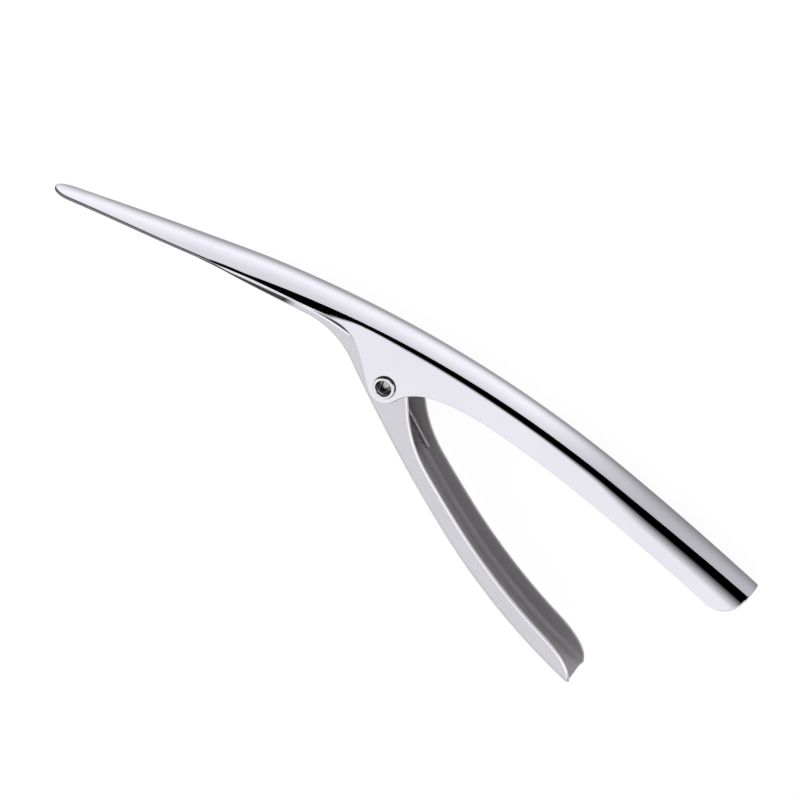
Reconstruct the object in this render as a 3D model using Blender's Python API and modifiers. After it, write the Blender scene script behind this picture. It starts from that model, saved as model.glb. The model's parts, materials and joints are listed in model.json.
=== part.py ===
"""Prawn peeler: two stamped stainless arms on one hollow rivet, held open by a torsion spring.

The tool lies on its side.  +X runs along it towards the handle ends, +Y points to the back of
the upper arm, and +Z is the rivet's axis.  Outlines are drawn in the rivet's own axes, with the
rivet at x = y = z = 0, and PIVOT then places every piece in the world.
"""

import math

import bmesh
import bpy
from mathutils import Vector

MM = 0.001

# Overall places along the tool, from the rivet; the shell is cut off before its last section.
SHELL_TIP_X = -97.3 * MM
SHELL_LAST_X = 107 * MM
LEVER_TIP_X = -94.3 * MM
LEVER_END_X = 83.3 * MM

# Sheet, widths and the rivet.
SHELL_SHEET = 1.0 * MM
LEVER_SHEET = 0.9 * MM
SHELL_HALF_WIDTH = 8.4 * MM
SIDE_GAP = 0.3 * MM
LEVER_HALF_WIDTH = SHELL_HALF_WIDTH - SHELL_SHEET - SIDE_GAP
RIVET_BORE_RADIUS = 1.95 * MM
RIVET_SHANK_RADIUS = 2.45 * MM
RIVET_RIM_RADIUS = 3.1 * MM
RIVET_RIM_HEIGHT = 0.8 * MM
RIVET_RIM_FLAT = 0.35 * MM
RIVET_RIM_GAP = 0.1 * MM
PIVOT_HOLE_RADIUS = RIVET_SHANK_RADIUS + 0.3 * MM
RIVET_HALF_LENGTH = SHELL_HALF_WIDTH + RIVET_RIM_GAP + RIVET_RIM_HEIGHT

# The rivet's place: the tool's box is centred over the origin and its lower rim is at z = 0.
PIVOT = Vector((-4.0 * MM, 7.5 * MM, RIVET_HALF_LENGTH))

# Back of the upper arm: headings in degrees at distances along the tool.
CROWN_HEADINGS = ((-97.3, 21.7), (-50, 21.7), (60, -0.3), (107, -3.4))
CROWN_AT_RIVET = 14.0 * MM

# Upper arm sections: half width and radius of the crown at distances along the tool.
TIP_ROUNDING = 4.5 * MM
FULL_HALF_WIDTH = SHELL_HALF_WIDTH / MM
HALF_WIDTH_STATIONS = (
    (-97.3, 3.1),
    (-86, 4.1),
    (-66, 6.0),
    (-50, 7.0),
    (-30, 7.85),
    (-14, FULL_HALF_WIDTH),
    (107, FULL_HALF_WIDTH),
)
CROWN_RADIUS_STATIONS = (
    (-97.3, 13.4),
    (-48, 13.2),
    (-30, 12.1),
    (-10, 11.1),
    (20, 10.4),
    (60, 10.0),
    (107, 8.0),
)
SMALLEST_SHOULDER = 1.3 * MM
CROWN_TURN = math.radians(30)
FLANGE_START_X = -60 * MM
FLANGE_FULL_X = -47 * MM
RAW_WALL_STATIONS = ((-47, 0.2), (-34, 6), (-22, 11), (10, 15), (24, 8), (107, 5))

# Lower edge of the upper arm: the ear's front, the round lobe under the rivet, the handle's edge.
LOBE_RADIUS = 4.5 * MM
LOBE_FRONT_HEADING = -40.7
LOBE_REAR_HEADING = 72.6
EAR_FRONT_HEADINGS = (
    (-48, 18.5),
    (-26, 17.5),
    (-19, 8.6),
    (-10.5, LOBE_FRONT_HEADING),
    (0, LOBE_FRONT_HEADING),
)
HANDLE_EDGE_HEADINGS = ((6.3, 50), (10, 29.3), (16, 17), (26, 7), (40, 3), (60, -0.4), (107, -5))
HANDLE_CORNER_X = 96.6 * MM
HANDLE_CORNER_RADIUS = 7.5 * MM
HANDLE_END_HEADING = HANDLE_EDGE_HEADINGS[-1][1]

# Lower arm: its web's underside, half width, bend radius and the rim of its walls.
WEB_HEADINGS = (
    (-94.3, 20.8),
    (-70, 20.4),
    (-58, 15.4),
    (-27.3, 15.4),
    (-11, -29.8),
    (35.4, -21.6),
    (84, -4.3),
)
WEB_AT_RIVET = -7.5 * MM
FULL_LEVER_WIDTH = LEVER_HALF_WIDTH / MM
LEVER_WIDTH_STATIONS = (
    (-94.3, 1.1),
    (-76, 2.4),
    (-60, 3.9),
    (-45, 5.6),
    (-30, 6.45),
    (-20, 6.85),
    (-8, FULL_LEVER_WIDTH),
    (84, FULL_LEVER_WIDTH),
)
BEND_RADIUS_STATIONS = ((-94.3, 1.3), (-45, 1.3), (-20, 1.8), (10, 2.5), (84, 2.5))
WALL_HEIGHT = 5.8 * MM
WALL_RUN_START_X = 22 * MM
RIM_HUB_HEADING = -52.0
RIM_FILLET_RADIUS = 35 * MM
RIM_FRONT_HEADINGS = ((-62, 20.5), (-45, 19.5), (-30, 17), (-17, 5), (0, 0))
RIM_END_LENGTH = 12 * MM
RAW_RIM_STATIONS = ((-47, 2.2), (-30, 5), (-12, 13), (6, 15), (24, 10), (84, 8))
LEVER_TURN_START_X = -62 * MM
LEVER_TURN_FULL_X = -47 * MM

# Torsion spring: a coil round the rivet and two legs towards the handles.
WIRE_RADIUS = 0.65 * MM
COIL_RADIUS = 3.6 * MM
COIL_PITCH = 1.8 * MM
WHOLE_TURNS = 5
UPPER_LEG_HEADING = 30.0
LOWER_LEG_HEADING = -26.0
UPPER_LEG_LENGTH = 19 * MM
LOWER_LEG_LENGTH = 22 * MM

# Fineness.
TIP_STEPS = 7
STATION_STEP = 4.0 * MM
SECTION_STEPS = 13
ROUND_STEPS = 48
LOBE_STEPS = 14
CORNER_STEPS = 8
RIM_STEPS = 12
ROLL_STEPS = 5
COIL_STEP = math.pi / 9
TURN_ROUNDS = 30
ROUND_SHADING = math.radians(35)

# How far the cutting tools reach past the sheet.
CUTTER_HALF_WIDTH = 14 * MM
CUTTER_REACH = 30 * MM
RIM_CUTTER_REACH = 40 * MM
END_OVERLAP = 2 * MM


def clear_scene():
    for scene_object in list(bpy.data.objects):
        bpy.data.objects.remove(scene_object, do_unlink=True)


def new_collection(name):
    collection = bpy.data.collections.new(name)
    bpy.context.scene.collection.children.link(collection)
    return collection


def steel(name, colour, roughness):
    """A stainless steel finish."""
    material = bpy.data.materials.new(name)
    material.use_nodes = True
    shader = material.node_tree.nodes["Principled BSDF"]
    shader.inputs["Base Color"].default_value = (*colour, 1)
    shader.inputs["Metallic"].default_value = 1
    shader.inputs["Roughness"].default_value = roughness
    return material


def smooth_step(start, end, x):
    share = min(max((x - start) / (end - start), 0), 1)
    return share * share * (3 - 2 * share)


def through_stations(stations, x):
    """A smooth value at x through (distance, value) stations in millimetres."""
    places = [place * MM for place, _ in stations]
    values = [value * MM for _, value in stations]
    x = min(max(x, places[0]), places[-1])
    last = len(places) - 1
    runs = [(values[i + 1] - values[i]) / (places[i + 1] - places[i]) for i in range(last)]
    slopes = []
    for i in range(last + 1):
        before = runs[max(i - 1, 0)]
        after = runs[min(i, last - 1)]
        bends_back = before * after <= 0
        slopes.append(0 if bends_back else 2 * before * after / (before + after))
    i = max(k for k in range(last) if places[k] <= x)
    run = places[i + 1] - places[i]
    t = (x - places[i]) / run
    return (
        (1 + 2 * t) * (1 - t) ** 2 * values[i]
        + t * (1 - t) ** 2 * run * slopes[i]
        + t * t * (3 - 2 * t) * values[i + 1]
        - t * t * (1 - t) * run * slopes[i + 1]
    )


class ArcLine:
    """A line y(x) of circular arcs that meet without a kink, known by its headings at some x."""

    def __init__(self, headings, known_x, known_y):
        self.knots = [(x * MM, math.sin(math.radians(heading))) for x, heading in headings]
        self.lift = 0
        self.lift = known_y - self.y(known_x)

    def y(self, x):
        total = self.lift
        for (start, sine), (end, end_sine) in zip(self.knots, self.knots[1:]):
            stop = min(max(x, start), end)
            if abs(end_sine - sine) < 1e-9:
                total += (stop - start) * sine / math.sqrt(1 - sine * sine)
                continue
            radius = (end - start) / (end_sine - sine)
            stop_sine = sine + (stop - start) / radius
            total -= radius * (math.sqrt(1 - stop_sine**2) - math.sqrt(1 - sine**2))
        return total

    def points(self, start, end, step):
        count = max(2, math.ceil((end - start) / step))
        places = [start + (end - start) * i / count for i in range(count + 1)]
        return [(x, self.y(x)) for x in places]


def arc_points(centre, radius, start_degrees, end_degrees, steps):
    points = []
    for i in range(steps + 1):
        angle = math.radians(start_degrees + (end_degrees - start_degrees) * i / steps)
        points.append((centre[0] + radius * math.cos(angle), centre[1] + radius * math.sin(angle)))
    return points


CROWN = ArcLine(CROWN_HEADINGS, 0, CROWN_AT_RIVET)
WEB = ArcLine(WEB_HEADINGS, 0, WEB_AT_RIVET)


def arc(z, y, radius, start, end):
    """An arc as its length and its point at a share of it, by angles from +y towards +z."""

    def point_at(share):
        angle = start + (end - start) * share
        return Vector((z + radius * math.sin(angle), y + radius * math.cos(angle)))

    return radius * abs(end - start), point_at


def straight(start, end):
    """A straight line as its length and its point at a share of it."""
    return (end - start).length, lambda share: start.lerp(end, share)


def spaced_points(lines, count):
    """Evenly spaced (z, y) points along lines that follow one another."""
    total = sum(length for length, _ in lines)
    points = []
    for i in range(count + 1):
        way = total * i / count
        k = 0
        while k < len(lines) - 1 and way > lines[k][0]:
            way -= lines[k][0]
            k += 1
        length, point_at = lines[k]
        points.append(point_at(min(way / length, 1)))
    return points


def tip_share(x, tip_x):
    """How much of the half width is left by the round end at the tip, from near 0 to 1."""
    blunt = 0.02
    run = min(max((x - tip_x) / TIP_ROUNDING, blunt), 1)
    return math.sqrt(1 - (1 - run) ** 2)


def crown_angles(half_width, crown_radius, shoulder, turn):
    """Where the shoulder starts and ends, turned by a share of the way to an upright wall."""
    if turn == 0:
        end = math.asin(half_width / crown_radius)
        return end, end
    start = CROWN_TURN
    for _ in range(TURN_ROUNDS):
        end = start + turn * (math.pi / 2 - start)
        start = math.asin((half_width - shoulder * math.sin(end)) / (crown_radius - shoulder))
    return start, end


def shell_section(x):
    """Half section of the upper arm's outside, from the crown to the bottom of the wall."""
    half_width = through_stations(HALF_WIDTH_STATIONS, x) * tip_share(x, SHELL_TIP_X)
    crown_radius = through_stations(CROWN_RADIUS_STATIONS, x)
    shoulder = max(SMALLEST_SHOULDER, 2 * half_width - crown_radius)
    turn = smooth_step(FLANGE_START_X, FLANGE_FULL_X, x)
    start, end = crown_angles(half_width, crown_radius, shoulder, turn)
    crown_y = CROWN.y(x) - crown_radius
    lines = [arc(0, crown_y, crown_radius, 0, start)]
    if turn > 0:
        shoulder_z = (crown_radius - shoulder) * math.sin(start)
        shoulder_y = crown_y + (crown_radius - shoulder) * math.cos(start)
        lines.append(arc(shoulder_z, shoulder_y, shoulder, start, end))
    edge = lines[-1][1](1)
    if x > FLANGE_FULL_X:
        lines.append(straight(edge, edge - Vector((0, through_stations(RAW_WALL_STATIONS, x)))))
    return spaced_points(lines, SECTION_STEPS)


def lever_section(x):
    """Half section of the lower arm's outside, from the middle of its web to the wall's top."""
    half_width = through_stations(LEVER_WIDTH_STATIONS, x) * tip_share(x, LEVER_TIP_X)
    turn = smooth_step(LEVER_TURN_START_X, LEVER_TURN_FULL_X, x)
    bend = through_stations(BEND_RADIUS_STATIONS, x)
    sweep = turn * math.pi / 2
    middle = Vector((0, WEB.y(x)))
    flat_end = middle + Vector((half_width - bend * math.sin(sweep), 0))
    lines = [straight(middle, flat_end)]
    if turn > 0:
        lines.append(arc(flat_end.x, flat_end.y + bend, bend, math.pi, math.pi - sweep))
    edge = lines[-1][1](1)
    rim_y = middle.y + through_stations(RAW_RIM_STATIONS, x)
    if x > LEVER_TURN_FULL_X and rim_y > edge.y:
        lines.append(straight(edge, Vector((edge.x, rim_y))))
    return spaced_points(lines, SECTION_STEPS)


def stations_between(tip_x, end_x):
    """Places for the sections: close together round the tip and evenly spaced behind it."""
    places = [tip_x + TIP_ROUNDING * (i / TIP_STEPS) ** 2 for i in range(TIP_STEPS)]
    start = tip_x + TIP_ROUNDING
    count = math.ceil((end_x - start) / STATION_STEP)
    return places + [start + (end_x - start) * i / count for i in range(count + 1)]


def half_surface(name, section, places, outward_is_up):
    """Half of an arm's outside as an open surface, from the middle plane to the +Z edge."""
    mesh_builder = bmesh.new()
    rows = []
    for x in places:
        row = []
        for z, y in section(x):
            row.append(mesh_builder.verts.new((x, y, z)))
        rows.append(row)
    for row, next_row in zip(rows, rows[1:]):
        for j in range(len(row) - 1):
            corners = [row[j], row[j + 1], next_row[j + 1], next_row[j]]
            if not outward_is_up:
                corners.reverse()
            mesh_builder.faces.new(corners)
    mesh = bpy.data.meshes.new(name)
    mesh_builder.to_mesh(mesh)
    mesh_builder.free()
    return mesh


def place(name, mesh, material, collection):
    piece = bpy.data.objects.new(name, mesh)
    piece.location = PIVOT
    mesh.materials.append(material)
    collection.objects.link(piece)
    return piece


def shade_round(mesh):
    mesh.shade_smooth()
    mesh.set_sharp_from_angle(angle=ROUND_SHADING)


def add_mirror(piece):
    mirror = piece.modifiers.new("both_sides", "MIRROR")
    mirror.use_axis = (False, False, True)
    mirror.use_clip = True
    mirror.merge_threshold = 0.01 * MM


def add_sheet(piece, thickness):
    sheet = piece.modifiers.new("sheet", "SOLIDIFY")
    sheet.thickness = thickness
    sheet.offset = -1
    sheet.use_even_offset = True


def add_cut(piece, name, cutter):
    cut = piece.modifiers.new(name, "BOOLEAN")
    cut.operation = "DIFFERENCE"
    cut.solver = "EXACT"
    cut.object = cutter


def make_cutter(name, mesh, collection):
    cutter = bpy.data.objects.new(name, mesh)
    cutter.location = PIVOT
    cutter.hide_render = True
    cutter.display_type = "WIRE"
    collection.objects.link(cutter)
    return cutter


def outline_cutter(name, points, collection):
    """A prism of a closed outline in x and y, cutting right across the tool."""
    curve = bpy.data.curves.new(name, "CURVE")
    curve.dimensions = "2D"
    curve.fill_mode = "BOTH"
    curve.extrude = CUTTER_HALF_WIDTH
    spline = curve.splines.new("POLY")
    spline.points.add(len(points) - 1)
    for point, (x, y) in zip(spline.points, points):
        point.co = (x, y, 0, 1)
    spline.use_cyclic_u = True
    outline = bpy.data.objects.new(name, curve)
    collection.objects.link(outline)
    graph = bpy.context.evaluated_depsgraph_get()
    mesh = bpy.data.meshes.new_from_object(outline.evaluated_get(graph))
    welder = bmesh.new()
    welder.from_mesh(mesh)
    bmesh.ops.remove_doubles(welder, verts=welder.verts, dist=0.001 * MM)
    bmesh.ops.recalc_face_normals(welder, faces=welder.faces)
    welder.to_mesh(mesh)
    welder.free()
    bpy.data.objects.remove(outline, do_unlink=True)
    return make_cutter(name, mesh, collection)


def round_cutter(name, radius, collection):
    """A cylinder on the rivet's axis."""
    mesh_builder = bmesh.new()
    bmesh.ops.create_cone(
        mesh_builder,
        cap_ends=True,
        segments=ROUND_STEPS,
        radius1=radius,
        radius2=radius,
        depth=2 * CUTTER_HALF_WIDTH,
    )
    mesh = bpy.data.meshes.new(name)
    mesh_builder.to_mesh(mesh)
    mesh_builder.free()
    return make_cutter(name, mesh, collection)


def lobe_point(heading):
    """The place on the round lobe under the rivet where its edge has a heading."""
    angle = math.radians(heading - 90)
    return LOBE_RADIUS * math.cos(angle), LOBE_RADIUS * math.sin(angle)


def shell_edge_outline():
    """Everything under the upper arm's lower edge and behind its handle's end."""
    front_x, front_y = lobe_point(LOBE_FRONT_HEADING)
    ear_front = ArcLine(EAR_FRONT_HEADINGS, front_x, front_y)
    rear_x, rear_y = lobe_point(LOBE_REAR_HEADING)
    rear_headings = ((rear_x / MM, LOBE_REAR_HEADING), *HANDLE_EDGE_HEADINGS)
    handle_edge = ArcLine(rear_headings, rear_x, rear_y)
    start_x = EAR_FRONT_HEADINGS[0][0] * MM
    throat_x = 26 * MM
    heading = math.radians(HANDLE_END_HEADING)
    ahead = Vector((math.cos(heading), math.sin(heading)))
    up = Vector((-ahead.y, ahead.x))
    corner_start = Vector((HANDLE_CORNER_X, handle_edge.y(HANDLE_CORNER_X)))
    corner = corner_start + up * HANDLE_CORNER_RADIUS
    end_top = corner + ahead * HANDLE_CORNER_RADIUS + up * CUTTER_REACH
    lobe_from = LOBE_FRONT_HEADING - 90
    lobe_to = LOBE_REAR_HEADING - 90
    points = ear_front.points(start_x, front_x, 1.2 * MM)
    points += arc_points((0, 0), LOBE_RADIUS, lobe_from, lobe_to, LOBE_STEPS)[1:]
    points += handle_edge.points(rear_x, throat_x, 1.0 * MM)[1:]
    points += handle_edge.points(throat_x, HANDLE_CORNER_X, STATION_STEP)[1:]
    corner_from = HANDLE_END_HEADING - 90
    corner_to = HANDLE_END_HEADING
    points += arc_points(corner, HANDLE_CORNER_RADIUS, corner_from, corner_to, CORNER_STEPS)[1:]
    points.append(tuple(end_top))
    points.append((end_top.x + CUTTER_REACH, end_top.y))
    points.append((end_top.x + CUTTER_REACH, -CUTTER_REACH))
    points.append((start_x, -CUTTER_REACH))
    return points


def web_sine_at(x):
    """Sine of the web's heading at a place on its last long arc."""
    (start, sine), (end, end_sine) = WEB.knots[-3], WEB.knots[-2]
    return sine + (x - start) * (end_sine - sine) / (end - start)


def lever_rim_outline():
    """Everything above the rim of the lower arm's walls."""
    run_sine = web_sine_at(WALL_RUN_START_X)
    hub_sine = math.sin(math.radians(RIM_HUB_HEADING))
    fillet_x = WALL_RUN_START_X - RIM_FILLET_RADIUS * (run_sine - hub_sine)
    run_y = WEB.y(WALL_RUN_START_X) + WALL_HEIGHT
    fillet_headings = (
        (0, RIM_HUB_HEADING),
        (fillet_x / MM, RIM_HUB_HEADING),
        (WALL_RUN_START_X / MM, math.degrees(math.asin(run_sine))),
    )
    fillet = ArcLine(fillet_headings, WALL_RUN_START_X, run_y)
    hub_rear = RIM_HUB_HEADING + 90
    away = Vector((math.cos(math.radians(hub_rear)), math.sin(math.radians(hub_rear))))
    hub_radius = Vector((fillet_x, fillet.y(fillet_x))).dot(away)
    hub_front = RIM_FRONT_HEADINGS[-1][1] + 90
    front_x = hub_radius * math.cos(math.radians(hub_front))
    front_y = hub_radius * math.sin(math.radians(hub_front))
    front = ArcLine(RIM_FRONT_HEADINGS, front_x, front_y)
    start_x = RIM_FRONT_HEADINGS[0][0] * MM
    points = front.points(start_x, front_x, 2 * MM)
    points += arc_points((0, 0), hub_radius, hub_front, hub_rear, CORNER_STEPS)[1:]
    points += fillet.points(away.x * hub_radius, WALL_RUN_START_X, 1.5 * MM)[1:]
    end_start = LEVER_END_X - RIM_END_LENGTH
    for i in range(1, RIM_STEPS + 1):
        x = WALL_RUN_START_X + (end_start - WALL_RUN_START_X) * i / RIM_STEPS
        points.append((x, WEB.y(x) + WALL_HEIGHT))
    for i in range(1, RIM_STEPS + 1):
        angle = math.pi / 2 * i / RIM_STEPS
        x = end_start + RIM_END_LENGTH * math.sin(angle)
        points.append((x, WEB.y(x) + LEVER_SHEET + (WALL_HEIGHT - LEVER_SHEET) * math.cos(angle)))
    points.append((LEVER_END_X + END_OVERLAP, points[-1][1]))
    points.append((LEVER_END_X + END_OVERLAP, RIM_CUTTER_REACH))
    points.append((start_x, RIM_CUTTER_REACH))
    points.reverse()
    return points


def make_upper_shell(parts, cutters, pivot_hole):
    places = stations_between(SHELL_TIP_X, SHELL_LAST_X)
    mesh = half_surface("upper_shell", shell_section, places, True)
    shell = place("upper_shell", mesh, steel("polished_steel", (0.86, 0.86, 0.88), 0.06), parts)
    add_mirror(shell)
    add_sheet(shell, SHELL_SHEET)
    add_cut(shell, "lower_edge", outline_cutter("shell_edge_cutter", shell_edge_outline(), cutters))
    add_cut(shell, "rivet_hole", pivot_hole)
    shade_round(mesh)
    return shell


def make_lower_lever(parts, cutters, pivot_hole):
    places = stations_between(LEVER_TIP_X, LEVER_END_X)
    mesh = half_surface("lower_lever", lever_section, places, False)
    lever = place("lower_lever", mesh, steel("satin_steel", (0.74, 0.74, 0.77), 0.32), parts)
    add_mirror(lever)
    add_sheet(lever, LEVER_SHEET)
    add_cut(lever, "rim", outline_cutter("lever_rim_cutter", lever_rim_outline(), cutters))
    add_cut(lever, "rivet_hole", pivot_hole)
    shade_round(mesh)
    return lever


def rivet_profile():
    """Radius and height round one rolled rim, from the bore over its flat top to its underside."""
    roll = (RIVET_RIM_RADIUS - RIVET_BORE_RADIUS - RIVET_RIM_FLAT) / 2
    rim_base = SHELL_HALF_WIDTH + RIVET_RIM_GAP
    inner_x = RIVET_BORE_RADIUS + roll
    outer_x = RIVET_RIM_RADIUS - roll
    quarter = [math.pi / 2 * i / ROLL_STEPS for i in range(ROLL_STEPS + 1)]
    points = []
    for angle in quarter:
        height = rim_base + RIVET_RIM_HEIGHT * math.sin(angle)
        points.append((inner_x - roll * math.cos(angle), height))
    for angle in quarter:
        height = rim_base + RIVET_RIM_HEIGHT * math.cos(angle)
        points.append((outer_x + roll * math.sin(angle), height))
    points.append((RIVET_SHANK_RADIUS, rim_base))
    return points


def make_pivot_rivet(parts):
    rim = rivet_profile()
    profile = rim + [(radius, -height) for radius, height in reversed(rim)]
    mesh = bpy.data.meshes.new("pivot_rivet")
    edges = [(i, (i + 1) % len(profile)) for i in range(len(profile))]
    mesh.from_pydata([(radius, 0, height) for radius, height in profile], edges, [])
    rivet = place("pivot_rivet", mesh, steel("rivet_steel", (0.8, 0.8, 0.82), 0.15), parts)
    turn = rivet.modifiers.new("turned", "SCREW")
    turn.axis = "Z"
    turn.steps = ROUND_STEPS
    turn.render_steps = ROUND_STEPS
    turn.use_merge_vertices = True
    turn.merge_threshold = 0.001 * MM
    turn.use_smooth_shade = True
    return rivet


def leg_direction(heading):
    return Vector((math.cos(math.radians(heading)), math.sin(math.radians(heading)), 0))


def coil_point(angle, height):
    return Vector((COIL_RADIUS * math.cos(angle), COIL_RADIUS * math.sin(angle), height))


def spring_path():
    """Points along the wire: upper leg, coil, lower leg."""
    first = math.radians(UPPER_LEG_HEADING + 90)
    last = math.radians(LOWER_LEG_HEADING - 90) + 2 * math.pi * (WHOLE_TURNS + 1)
    top = (last - first) / (2 * math.pi) * COIL_PITCH / 2
    steps = math.ceil((last - first) / COIL_STEP)
    points = [coil_point(first, top) + leg_direction(UPPER_LEG_HEADING) * UPPER_LEG_LENGTH]
    for i in range(steps + 1):
        share = i / steps
        points.append(coil_point(first + (last - first) * share, top * (1 - 2 * share)))
    points.append(points[-1] + leg_direction(LOWER_LEG_HEADING) * LOWER_LEG_LENGTH)
    return points


def make_torsion_spring(parts):
    curve = bpy.data.curves.new("torsion_spring", "CURVE")
    curve.dimensions = "3D"
    curve.bevel_depth = WIRE_RADIUS
    curve.bevel_resolution = 2
    curve.use_fill_caps = True
    points = spring_path()
    spline = curve.splines.new("POLY")
    spline.points.add(len(points) - 1)
    for point, place_on_wire in zip(spline.points, points):
        point.co = (*place_on_wire, 1)
    return place("torsion_spring", curve, steel("spring_steel", (0.6, 0.6, 0.62), 0.28), parts)


def main():
    clear_scene()
    parts = new_collection("prawn_peeler")
    cutters = new_collection("cutters")
    pivot_hole = round_cutter("rivet_hole_cutter", PIVOT_HOLE_RADIUS, cutters)
    make_upper_shell(parts, cutters, pivot_hole)
    make_lower_lever(parts, cutters, pivot_hole)
    make_pivot_rivet(parts)
    make_torsion_spring(parts)


main()
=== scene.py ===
"""Prawn peeler, the visible model: two stamped steel arms, a hollow rivet and a wire spring.

Outlines are drawn in the rivet's own axes, with the rivet at x = y = z = 0, +X towards the
handles, +Y to the back of the upper arm and +Z along the rivet.  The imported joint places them.
"""

import json
import math
from functools import lru_cache

import bmesh
import bpy
from mathutils import Matrix, Vector

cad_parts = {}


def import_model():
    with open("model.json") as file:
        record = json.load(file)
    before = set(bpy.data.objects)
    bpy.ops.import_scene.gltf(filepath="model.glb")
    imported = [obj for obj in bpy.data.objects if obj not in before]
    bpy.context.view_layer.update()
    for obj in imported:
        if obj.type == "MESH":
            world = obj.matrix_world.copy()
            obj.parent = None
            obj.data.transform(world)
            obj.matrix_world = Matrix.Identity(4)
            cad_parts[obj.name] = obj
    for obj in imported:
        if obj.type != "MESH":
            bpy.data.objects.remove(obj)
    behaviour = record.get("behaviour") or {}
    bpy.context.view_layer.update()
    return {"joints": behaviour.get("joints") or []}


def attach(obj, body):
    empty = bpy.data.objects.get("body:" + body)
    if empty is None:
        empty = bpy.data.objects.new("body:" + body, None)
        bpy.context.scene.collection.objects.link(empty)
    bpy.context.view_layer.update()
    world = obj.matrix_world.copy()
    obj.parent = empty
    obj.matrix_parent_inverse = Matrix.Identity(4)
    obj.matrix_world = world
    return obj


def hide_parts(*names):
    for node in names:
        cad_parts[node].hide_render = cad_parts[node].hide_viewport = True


MM = 0.001

# Sheet, widths and the rivet.
SHELL_SHEET = 1.0 * MM
LEVER_SHEET = 0.9 * MM
SHELL_HALF_WIDTH = 8.4 * MM
SIDE_GAP = 0.3 * MM
LEVER_HALF_WIDTH = SHELL_HALF_WIDTH - SHELL_SHEET - SIDE_GAP
EDGE_ROUNDING = 0.3 * MM
RIVET_BORE_RADIUS = 1.95 * MM
RIVET_SHANK_RADIUS = 2.45 * MM
RIVET_RIM_RADIUS = 3.1 * MM
RIVET_RIM_HEIGHT = 0.8 * MM
RIVET_RIM_FLAT = 0.35 * MM
RIVET_RIM_GAP = 0.1 * MM
# Share of the rolled rim's height that carries the painted shadow at its foot.
RIVET_FOOT_SHADOW_SHARE = 0.6
RIVET_CREASE = math.radians(50)
BORE_EDGE = 0.02 * MM
# Painted shade in a band inside each mouth of the bore, from and to these distances from the
# rivet's middle.
BORE_SHADE_FROM = 5.2 * MM
BORE_SHADE_TO = 8.3 * MM
BORE_SHADE_FADE = 0.4 * MM
PIVOT_HOLE_RADIUS = RIVET_SHANK_RADIUS + 0.3 * MM
PIVOT_HOLE_DEPTH = 4 * SHELL_HALF_WIDTH

# Overall places along the tool, from the rivet.
SHELL_TIP_X = -97.3 * MM
LEVER_TIP_X = -94.3 * MM
LEVER_END_X = 83.3 * MM
TIP_ROUNDING = 4.5 * MM
TIP_RUN = 16 * MM

# Upper arm: headings of its back in degrees, half width and crown radius, at distances in mm.
CROWN_HEADINGS = ((-97.3, 21.7), (-50, 21.7), (60, -0.3), (107, -3.4))
CROWN_AT_RIVET = 14.0 * MM
FULL_HALF_WIDTH = SHELL_HALF_WIDTH / MM
HALF_WIDTH_STATIONS = (
    (-97.3, 3.1),
    (-86, 4.1),
    (-66, 6.0),
    (-50, 7.0),
    (-30, 7.85),
    (-14, FULL_HALF_WIDTH),
    (107, FULL_HALF_WIDTH),
)
CROWN_RADIUS_STATIONS = (
    (-97.3, 13.4),
    (-48, 13.2),
    (-30, 12.1),
    (-10, 11.1),
    (20, 10.4),
    (60, 10.0),
    (107, 8.0),
)
SMALLEST_SHOULDER = 1.3 * MM
CROWN_TURN = math.radians(30)
FLANGE_START_X = -60 * MM
FLANGE_FULL_X = -47 * MM
EDGE_BLEND_X = -56 * MM

# Lower edge of the upper arm: the ear's front, the round lobe under the rivet, the handle's edge.
LOBE_RADIUS = 4.5 * MM
LOBE_FRONT_HEADING = -40.7
LOBE_REAR_HEADING = 72.6
EAR_FRONT_HEADINGS = (
    (-62, 18.5),
    (-48, 18.5),
    (-26, 17.5),
    (-19, 8.6),
    (-10.5, LOBE_FRONT_HEADING),
    (0, LOBE_FRONT_HEADING),
)
HANDLE_EDGE_HEADINGS = (
    (3, LOBE_REAR_HEADING),
    (LOBE_RADIUS / MM * math.sin(math.radians(LOBE_REAR_HEADING)), LOBE_REAR_HEADING),
    (6.3, 50),
    (10, 29.3),
    (16, 17),
    (26, 7),
    (40, 3),
    (60, -0.4),
    (107, -5),
)
HANDLE_CORNER_X = 96.6 * MM
HANDLE_CORNER_RADIUS = 7.5 * MM
HANDLE_END_HEADING = math.radians(HANDLE_EDGE_HEADINGS[-1][1])
HANDLE_END_LENGTH = 9.0 * MM

# Lower arm: its web's underside, half width, bend radius and the rim of its walls.
WEB_HEADINGS = (
    (-94.3, 20.8),
    (-70, 20.4),
    (-58, 15.4),
    (-27.3, 15.4),
    (-11, -29.8),
    (35.4, -21.6),
    (84, -4.3),
)
WEB_AT_RIVET = -7.5 * MM
FULL_LEVER_WIDTH = LEVER_HALF_WIDTH / MM
LEVER_WIDTH_STATIONS = (
    (-94.3, 1.1),
    (-76, 2.4),
    (-60, 3.9),
    (-45, 5.6),
    (-30, 6.45),
    (-20, 6.85),
    (-8, FULL_LEVER_WIDTH),
    (84, FULL_LEVER_WIDTH),
)
BEND_RADIUS_STATIONS = ((-94.3, 1.3), (-45, 1.3), (-20, 1.8), (10, 2.5), (84, 2.5))
WALL_HEIGHT = 5.8 * MM
WALL_RUN_START_X = 22 * MM
RIM_HUB_HEADING = -52.0
RIM_FILLET_RADIUS = 35 * MM
RIM_FRONT_HEADINGS = ((-62, 20.5), (-45, 19.5), (-30, 17), (-17, 5), (0, 0))
RIM_END_LENGTH = 12 * MM
LEVER_TURN_START_X = -62 * MM
LEVER_TURN_FULL_X = -47 * MM
RIM_BLEND_X = -56 * MM

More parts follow.
